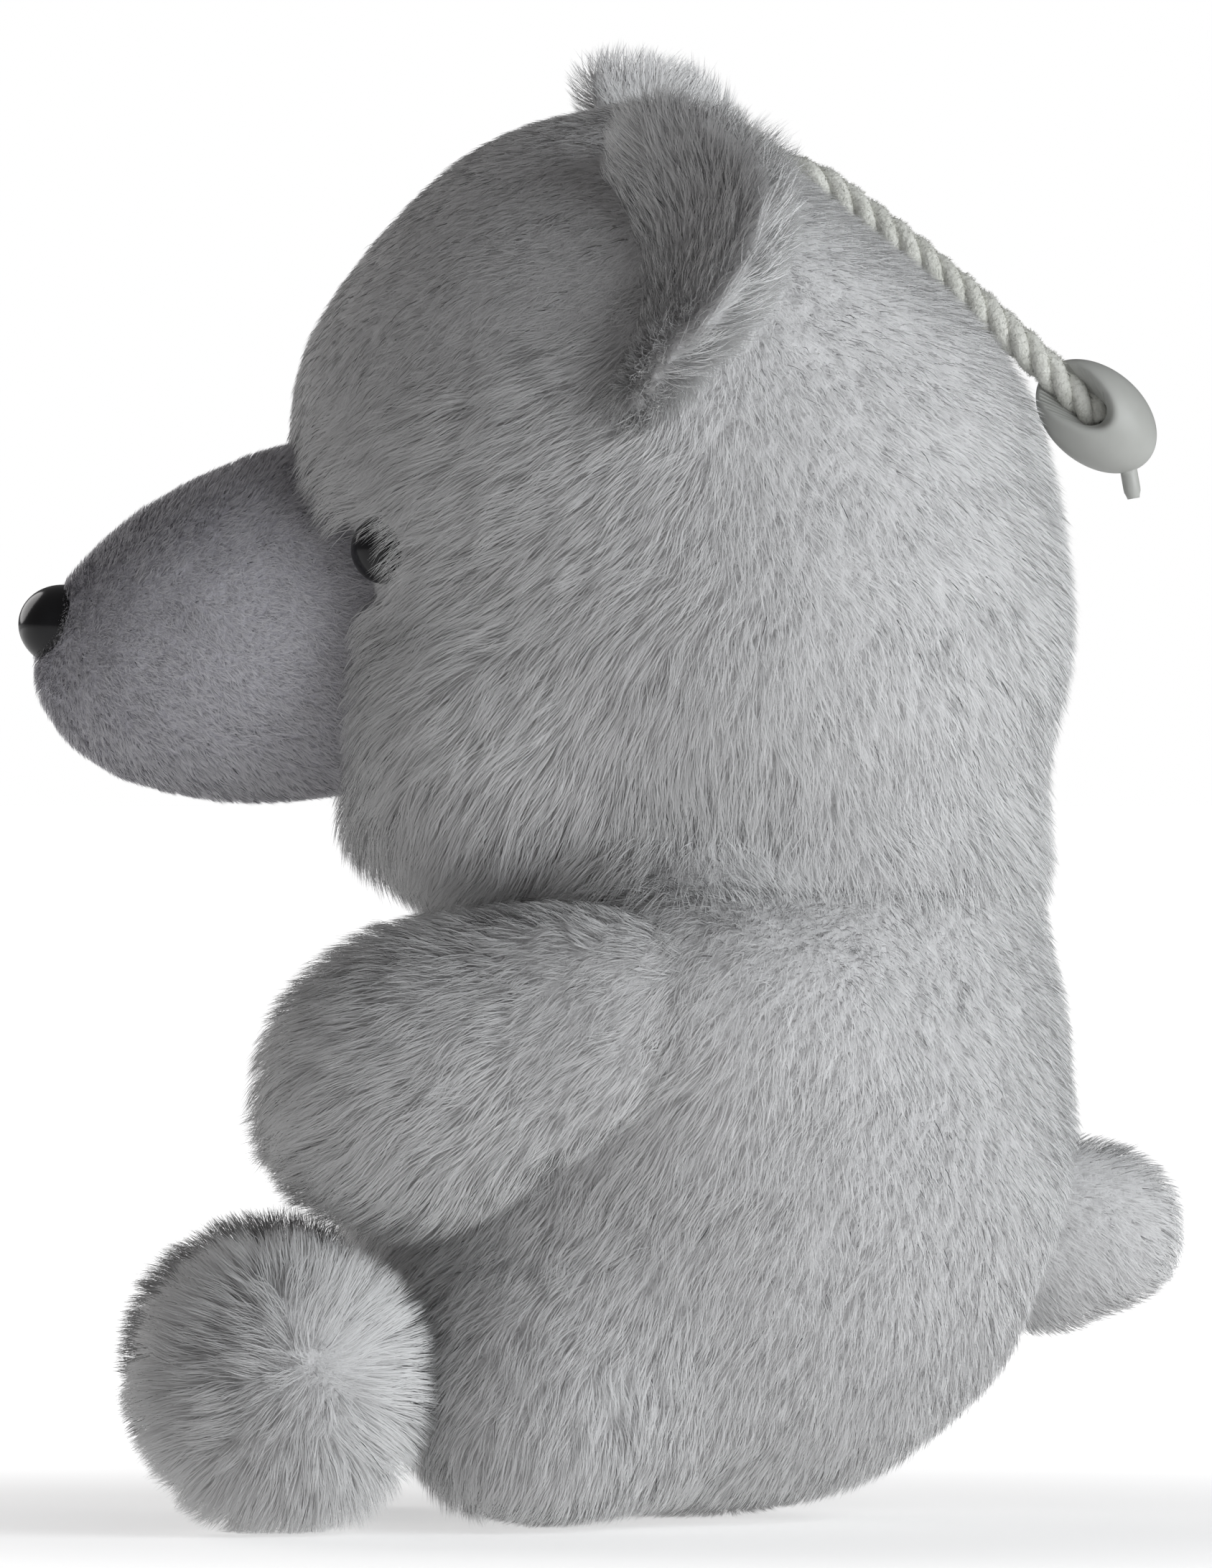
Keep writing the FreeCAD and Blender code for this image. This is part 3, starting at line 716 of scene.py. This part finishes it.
# An ear is a padded oval, swept back, with its middle pushed back into a cup and its top curled forward.
# The right one stands a little further forward.
EAR_SWEEP = {"left": math.radians(48), "right": math.radians(38)}
EAR_CURL = {"left": 5.0, "right": 8.0}
EAR_ALONG, EAR_OUT, EAR_THICK, EAR_CUP, EAR_ROOT_BACK = 21.5, 25.5, 4.8, 7.0, 5.0


def make_ear(side):
    """Skin of one ear, with its middle, its axes (along the hinge, outward, forward) and its top's sign."""
    hinge, along = joint(f"ear_{side}_fold")
    radial = unit((hinge - SKULL) * np.array([1, 0, 1]))
    sweep = EAR_SWEEP[side]
    out = radial * math.cos(sweep) + BACK * math.sin(sweep)
    front_way = radial * math.sin(sweep) - BACK * math.cos(sweep)
    rows = np.array([along, out, front_way])
    top = np.sign(along[2])
    middle = hinge - along * top * 2.5
    points, faces = wrap(ellipsoid(np.zeros(3), (EAR_ALONG, EAR_OUT, EAR_THICK)), np.zeros(3), 24)
    from_middle = np.hypot(points[:, 0] / EAR_ALONG, points[:, 1] / EAR_OUT)
    outer = smooth(-6, 8, points[:, 1])
    points[:, 2] += EAR_CURL[side] * smooth(0.1, 1.0, top * points[:, 0] / EAR_ALONG) * outer
    points[:, 2] -= EAR_ROOT_BACK * (1 - outer)
    points[:, 2] -= EAR_CUP * (1 - from_middle ** 2.2)

    def inside_rim(p):
        q = (p - middle) @ rows.T
        return EAR_ALONG * (1 - np.hypot(q[:, 0] / EAR_ALONG, q[:, 1] / EAR_OUT))

    obj = new_mesh(f"ear_skin_{side}", middle + points @ rows, faces)
    stuff(obj, [(inside_rim, 2.5)], voxel=2.2, swell=0.8)
    return {"skin": obj, "middle": middle, "rows": rows, "top": top}


ears = {side: make_ear(side) for side, _ in SIDES}

for obj in (head_skin, body_skin, tail_skin, *arm_skins.values(), *foot_skins.values()):
    dress(obj, BACKING)
for side in ears:
    dress(ears[side]["skin"], BACKING)
dress(snout_skin, SNOUT_CLOTH)


def head_comb(p, n):
    """Down and forward over the cheeks, straight down at the nape, forward over the brow."""
    ahead = smooth(18, -30, p[:, 1])
    low = smooth(128, 98, p[:, 2])
    forward = 0.95 * ahead - 0.2 * (1 - ahead) - 0.35 * low * ahead
    down = 0.55 + 0.75 * low + 0.3 * (1 - ahead)
    return -BACK * forward[:, None] - UP * down[:, None]


def brow(p):
    """1 on the short smooth pile of the forehead, 0 on the long pile behind and below it."""
    edge = SKULL[2] + 1.5 + 0.41 * (p[:, 1] - HEAD_LOW[1])
    return smooth(-3, 7, p[:, 2] - edge) * smooth(-2, -16, p[:, 1])


def front(p):
    """1 over the tufted front half of the toy, 0 over the velvety back half."""
    return smooth(16, -20, p[:, 1])


def head_length(p, n):
    long = 4.4 + 3.9 * front(p) + 1.6 * smooth(112, 94, p[:, 2])
    return long * (1 - brow(p)) + 3.2 * brow(p)


def head_rise(p, n):
    return 1.0 - 0.4 * brow(p)


def head_lay(p, n):
    return 0.5 - 0.2 * front(p) - 0.25 * brow(p)


def tuft(p, n):
    """How strongly fibres gather into tufts."""
    return 0.04 + 0.40 * front(p) * (1 - 0.6 * brow(p))


EYE_CLEARANCE, NOSE_CLEARANCE = 6.6, 5.0


def head_keep(p, n):
    """Roots outside the snout, clear of the eyes and above the neck line."""
    clear = SNOUT_FORM(p) > 0.4
    for eye in EYES:
        clear &= np.linalg.norm(p - eye, axis=1) > EYE_CLEARANCE
    return clear & (p[:, 2] > NECK_Z - 0.6)


def body_comb(p, n):
    """Down and forward, most forward on the sides, and outward under the seat."""
    forward = 0.30 + 0.25 * smooth(30, 10, np.abs(p[:, 1]))
    under = smooth(7, 1, p[:, 2])
    outward = unit(p * np.array([1, 1, 0]))
    return -BACK * forward[:, None] - UP * (1 - under)[:, None] + outward * under[:, None]


def body_length(p, n):
    return (4.2 + 3.0 * front(p)) * (0.5 + 0.5 * smooth(2, 9, p[:, 2]))


def body_keep(p, n):
    return (p[:, 2] < NECK_Z + 0.2) & (p[:, 2] > 1.2)


def arm_comb(way):
    """Down the arm towards the paw."""
    return lambda p, n: -way + 0.25 * n - UP * 0.3


def arm_length(middle, way):
    """Longest under the paw, short over the top."""
    def length(p, n):
        paw = smooth(-14, 14, (middle - p) @ way)
        return 4.4 + 3.4 * paw + 1.8 * paw * smooth(0.4, -0.6, n[:, 2])
    return length


def foot_comb(middle, sign):
    """Outward from a crown a little above and outside the middle of the foot."""
    crown = middle + np.array([sign * 14.0, 4.0, 4.0])
    return lambda p, n: unit(p - crown) - BACK * 0.15


def outside(form, depth):
    """Keeps roots that lie no deeper than this in a form."""
    return lambda p, n: form(p) > -depth


def foot_keep(p, n):
    return (BODY_FORM(p) > -2.0) & (p[:, 2] > 1.0)


def tail_comb(p, n):
    return BACK * 0.8 - UP * 0.5


def ear_comb(ear):
    """Outward in a fan from the hollow low in the cup, and forward off its face."""
    rows, middle, top = ear["rows"], ear["middle"], ear["top"]

    def comb(p, n):
        q = (p - middle) @ rows.T
        spread = rows[0] * (q[:, :1] + top * 8.0) + rows[1] * (q[:, 1:2] + 6.0)
        facing = smooth(-0.2, 0.5, n @ rows[2])[:, None]
        return unit(spread) + rows[2] * 0.6 * facing - UP * 0.3 * (1 - facing)
    return comb


def ear_length(ear):
    """Longest on the outer and lower rim, short in the hollow and over the top."""
    rows, middle, top = ear["rows"], ear["middle"], ear["top"]

    def length(p, n):
        q = (p - middle) @ rows.T
        edge = smooth(0.35, 0.9, np.hypot(q[:, 0] / EAR_ALONG, q[:, 1] / EAR_OUT))
        return 4.6 + 4.0 * edge * (1 - 0.7 * smooth(2, 15, q[:, 0] * top))
    return length


EAR_ROOT = -11.0


def ear_keep(ear):
    """Roots outside the head, on the outer part of the ear."""
    return lambda p, n: (HEAD_FORM(p) > -1.5) & ((p - ear["middle"]) @ ear["rows"][1] > EAR_ROOT)


def snout_comb(p, n):
    return BACK - UP * 0.3


def snout_keep(p, n):
    return (HEAD_FORM(p) > -1.0) & (np.linalg.norm(p - NOSE, axis=1) > NOSE_CLEARANCE)


limbs = [ARMS["left"][0], ARMS["right"][0], FEET["left"][0], FEET["right"][0], TAIL_FORM]
furs = {}
furs["head"] = pile(
    "head_pile", [head_skin], 11, 4.6, head_comb, head_length, head_rise, head_lay, droop=0.05,
    keep=head_keep, pull=tuft, split=sectors(8, (0.0, -5.0)))
furs["torso"] = pile(
    "body_pile", [body_skin], 12, 4.2, body_comb, body_length, 1.0, 0.4, droop=0.04,
    keep=body_keep, press=limbs, pull=tuft, split=sectors(7))
for side, sign in SIDES:
    form, middle, way = ARMS[side]
    furs[f"arm_{side}"] = pile(
        f"arm_pile_{side}", [arm_skins[side]], 22 - sign, 4.6, arm_comb(way), arm_length(middle, way),
        1.0, 0.35, droop=0.06, keep=outside(BODY_FORM, 1.0), press=[BODY_FORM], pull=tuft)
    form, middle = FEET[side]
    furs[f"leg_{side}"] = pile(
        f"foot_pile_{side}", [foot_skins[side]], 32 - sign, 5.6, foot_comb(middle, sign), 7.4,
        1.15, 0.7, keep=foot_keep, press=[BODY_FORM], pull=0.5)
    ear = ears[side]
    furs[f"ear_{side}"] = pile(
        f"ear_pile_{side}", [ear["skin"]], 42 - sign, 5.6, ear_comb(ear), ear_length(ear),
        0.9, 0.35, keep=ear_keep(ear), pull=0.32)
furs["tail"] = pile(
    "tail_pile", [tail_skin], 51, 4.8, tail_comb, 3.6, 1.0, 0.4, keep=outside(BODY_FORM, 2.0), pull=0.1)
furs["snout"] = pile(
    "snout_pile", [snout_skin], 61, 13.0, snout_comb, 1.9, 0.9, 0.25, keep=snout_keep, width=0.12,
    clump=1.1, pull=0.3, stray=0.5, stations=3, split=sectors(4), material=SHORT_PILE)

# ---------------------------------------------------------------- cord and bead

def rows_about(way):
    """Two unit vectors square to a way and to each other."""
    side = unit(np.cross(way, UP if abs(way[2]) < 0.9 else LEFT))
    return side, np.cross(way, side)


def tube(centres, radii, around=14):
    """Points and faces of a closed tube along a line of centres."""
    centres = np.asarray(centres)
    ways = unit(np.gradient(centres, axis=0))
    side = unit(np.cross(ways, UP))
    up = np.cross(ways, side)
    angle = np.linspace(0, 2 * math.pi, around, endpoint=False)
    ring = side[:, None] * np.cos(angle)[None, :, None] + up[:, None] * np.sin(angle)[None, :, None]
    points = (centres[:, None] + ring * np.asarray(radii)[:, None, None]).reshape(-1, 3)
    k, j = np.meshgrid(np.arange(len(centres) - 1), np.arange(around), indexing="ij")
    a, b = k * around + j, k * around + (j + 1) % around
    faces = np.stack([a, b, b + around, a + around], -1).reshape(-1, 4).tolist()
    faces += [list(range(around))[::-1], list(range(len(points) - around, len(points)))]
    return points, faces


CORD_YARNS = 3
# Radius of a yarn, of the circle that the yarns wind on, length of one turn, and how far the cord bows out.
CORD_YARN_R, CORD_WIND_R, CORD_LAY, CORD_BOW = 1.26, 1.14, 12.0, 1.2


def make_cord():
    """Three yarns twisted together, dipping into the crown at one end and into the bead at the other."""
    reach = float(np.dot(BEAD_MIDDLE - CORD_ROOT, CORD_WAY)) + 1.0
    side, up = rows_about(CORD_WAY)
    s = np.linspace(-8.0, reach, 280)
    share = np.clip(s / reach, 0, 1)
    sunk = 2.4 * smooth(6.0, -5.0, s)
    lifted = CORD_BOW * np.sin(math.pi * share) - sunk
    line = CORD_ROOT + CORD_WAY * s[:, None] + SLOPE_OUT * lifted[:, None]
    all_points, all_faces = [], []
    for k in range(CORD_YARNS):
        phase = 2 * math.pi * (s / CORD_LAY + k / CORD_YARNS)
        wind = side * np.cos(phase)[:, None] + up * np.sin(phase)[:, None]
        points, faces = tube(line + CORD_WIND_R * wind, np.full(len(s), CORD_YARN_R))
        all_faces += [[i + k * len(points) for i in f] for f in faces]
        all_points.append(points)
    obj = new_mesh("cord_twist", np.concatenate(all_points), all_faces)
    dress(obj, CORD_YARN)
    return obj


def cord_comb(p, n):
    return CORD_WAY * 0.4 + np.cross(CORD_WAY, n)


def carve(a, b, k):
    """Smooth difference: a with b taken out of it."""
    return meet(a, lambda p: -b(p), k)


def make_nib():
    """Short rounded peg, slanted back towards the head."""
    bend = math.radians(40)
    way = CORD_WAY * math.cos(bend) - SLOPE_OUT * math.sin(bend)
    root = BEAD_MIDDLE + CORD_WAY * 8.0 - SLOPE_OUT * 2.6
    s = np.linspace(-2.0, 4.4, 14)
    points, faces = tube(root + way * s[:, None], 1.2 - 0.35 * smooth(3.2, 4.4, s), 16)
    return new_mesh("nib", points, faces)


def make_bead():
    """Egg with a long scoop in its left side, a pit at its middle where the cord runs in, and a nib."""
    rows = axes(CORD_WAY, LEFT)
    egg = ellipsoid(BEAD_MIDDLE, (6.7, 9.5, 6.7), rows)
    scoop = ellipsoid(BEAD_MIDDLE + LEFT * 6.0 - CORD_WAY * 7.5, (4.0, 9.0, 6.2), rows)
    pit = ellipsoid(BEAD_MIDDLE + LEFT * 0.8 - CORD_WAY * 2.0, (3.3, 4.6, 3.3), rows)
    form = carve(carve(egg, scoop, 1.2), pit, 0.8)
    points, faces = wrap(form, BEAD_MIDDLE + CORD_WAY * 5.0 - LEFT, 44, 24.0)
    obj = new_mesh("bead_shell", points, faces)
    nib = make_nib()
    weld = obj.modifiers.new("weld", "BOOLEAN")
    weld.operation = "UNION"
    weld.solver = "EXACT"
    weld.object = nib
    apply_modifiers(obj)
    bpy.data.objects.remove(nib)
    obj.data.shade_smooth()
    dress(obj, BEAD)
    return obj


cord = make_cord()
cord_fuzz = pile(
    "cord_fuzz", [cord], 71, 9.0, cord_comb, 0.8, 0.8, 0.3, width=0.09, clump=0.8, pull=0.2,
    stray=0.8, stations=3, material=CORD_PILE)
bead = make_bead()

# ---------------------------------------------------------------- every piece rides on its body

for obj in (head_skin, *furs["head"]):
    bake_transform(obj)


def fasten(pieces, body):
    for obj in pieces:
        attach(obj, body)


fasten([body_skin, *furs["torso"]], "torso")
fasten([snout_skin, *furs["snout"]], "head")
for side, _ in SIDES:
    fasten([arm_skins[side], *furs[f"arm_{side}"]], f"arm_{side}")
    fasten([foot_skins[side], *furs[f"leg_{side}"]], f"leg_{side}")
    fasten([ears[side]["skin"], *furs[f"ear_{side}"]], f"ear_{side}")
fasten([tail_skin, *furs["tail"]], "tail")
fasten([cord, *cord_fuzz], "cord")
fasten([bead], "bead")

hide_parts("forehead_gusset", "head_side_left", "head_side_right",
            "head_stuffing", "neck_stuffing")
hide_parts("seat_panel", "belly_panel", "back_panel_left", "back_panel_right",
            "torso_stuffing", "pellet_bag")
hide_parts("snout_cover", "snout_stuffing")
for side, _ in SIDES:
    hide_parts(f"arm_outer_{side}", f"arm_inner_{side}", f"arm_stuffing_{side}")
    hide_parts(f"foot_cover_{side}", f"foot_sole_{side}", f"foot_stuffing_{side}")
    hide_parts(f"ear_front_{side}", f"ear_back_{side}")
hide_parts("tail_upper", "tail_lower", "tail_stuffing")
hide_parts("cord")
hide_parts("bead", "bead_plug")

# CAD nodes whose own shape shows, or lies hidden inside.
KEPT_NODES = {
    "eye_left": BLACK, "eye_right": BLACK, "nose": BLACK,
    "eye_washer_left": WASHER, "eye_washer_right": WASHER, "nose_washer": WASHER,
    "cord_knot": CORD_YARN, "cord_end_knot": CORD_YARN, "neck_thread": CORD_YARN,
}
for name, material in KEPT_NODES.items():
    node = frame["nodes"][name]
    for place in node.material_slots:
        place.material = material
    if not node.material_slots:
        node.data.materials.append(material)

# ---------------------------------------------------------------- studio

BOUNCE = 0.28
FLOOR_REACH = 12000.0
AMBIENT, AMBIENT_COLOUR = 0.115, (1.0, 0.975, 0.985, 1)
AIM = np.array([0.0, -15.0, 102.6])
CAMERA_AZIMUTH, CAMERA_ELEVATION, CAMERA_DISTANCE = 87.5, 0.4, 2400.0
SENSOR, VIEW_HEIGHT = 36.0, 218.4


def make_floor():
    """Pale floor that fades to white for the camera and gives the object a little light from below."""
    material, tree, shader = node_material("floor", 0.9, 0.1)
    colours = ramp(tree, [(0.4, (0.86, 0.86, 0.86)), (0.6, (0.89, 0.89, 0.89))])
    tree.links.new(noise(tree, 6.0).outputs["Fac"], colours.inputs["Fac"])
    tree.links.new(colours.outputs["Color"], shader.inputs["Base Color"])
    away = tree.nodes.new("ShaderNodeVectorMath")
    away.operation = "LENGTH"
    ground = tree.nodes.new("ShaderNodeTexCoord")
    tree.links.new(ground.outputs["Object"], away.inputs[0])
    brighten = tree.nodes.new("ShaderNodeMapRange")
    brighten.interpolation_type = "SMOOTHSTEP"
    for key, value in (("From Min", 0.04), ("From Max", 0.32), ("To Min", 0.5), ("To Max", 1.0)):
        brighten.inputs[key].default_value = value
    tree.links.new(away.outputs["Value"], brighten.inputs["Value"])
    to_camera = tree.nodes.new("ShaderNodeLightPath")
    glow = tree.nodes.new("ShaderNodeMix")
    glow.inputs["A"].default_value = BOUNCE
    tree.links.new(to_camera.outputs["Is Camera Ray"], glow.inputs["Factor"])
    tree.links.new(brighten.outputs["Result"], glow.inputs["B"])
    shader.inputs["Emission Color"].default_value = (1, 1, 1, 1)
    tree.links.new(glow.outputs[0], shader.inputs["Emission Strength"])
    r = FLOOR_REACH
    obj = new_mesh("floor", [(-r, -r, 0), (r, -r, 0), (r, r, 0), (-r, r, 0)], [(0, 1, 2, 3)])
    dress(obj, material)


def background(tree, colour, strength):
    node = tree.nodes.new("ShaderNodeBackground")
    node.inputs["Color"].default_value = colour
    node.inputs["Strength"].default_value = strength
    return node.outputs["Background"]


def make_world():
    """White where the camera sees it, and a dim even light for everything else."""
    world = bpy.data.worlds.new("studio")
    bpy.context.scene.world = world
    world.use_nodes = True
    tree = world.node_tree
    tree.nodes.clear()
    output = tree.nodes.new("ShaderNodeOutputWorld")
    path = tree.nodes.new("ShaderNodeLightPath")
    choose = tree.nodes.new("ShaderNodeMixShader")
    tree.links.new(path.outputs["Is Camera Ray"], choose.inputs["Fac"])
    tree.links.new(background(tree, AMBIENT_COLOUR, AMBIENT), choose.inputs[1])
    tree.links.new(background(tree, (1, 1, 1, 1), 1.0), choose.inputs[2])
    tree.links.new(choose.outputs["Shader"], output.inputs["Surface"])


def around_aim(azimuth, elevation, distance):
    """Place in metres, at this distance from the aim. Azimuth 0 is in front of the toy, 90 at its left."""
    a, e = math.radians(azimuth), math.radians(elevation)
    way = np.array([math.sin(a) * math.cos(e), -math.cos(a) * math.cos(e), math.sin(e)])
    return Vector((AIM + distance * way) * MM)


def place_facing_aim(obj, where):
    obj.location = where
    obj.rotation_euler = (Vector(AIM * MM) - where).to_track_quat("-Z", "Y").to_euler()
    bpy.context.scene.collection.objects.link(obj)


def area_light(name, azimuth, elevation, distance, size, power, colour):
    light = bpy.data.lights.new(name, "AREA")
    light.shape = "DISK"
    light.size = size * MM
    light.energy = power
    light.color = colour
    place_facing_aim(bpy.data.objects.new(name, light), around_aim(azimuth, elevation, distance))


def make_camera():
    lens = bpy.data.cameras.new("camera")
    lens.sensor_fit = "VERTICAL"
    lens.sensor_height = SENSOR
    lens.lens = SENSOR * CAMERA_DISTANCE / VIEW_HEIGHT
    lens.clip_end = 20.0
    camera = bpy.data.objects.new("camera", lens)
    place_facing_aim(camera, around_aim(CAMERA_AZIMUTH, CAMERA_ELEVATION, CAMERA_DISTANCE))
    bpy.context.scene.camera = camera


make_floor()
make_world()
area_light("window", 140, 12, 1200, 950, 10.6, (0.95, 0.98, 1.0))
area_light("fill", -50, 22, 1500, 1100, 5.0, (1.0, 0.985, 0.98))
make_camera()
bpy.context.scene.view_settings.view_transform = "Standard"
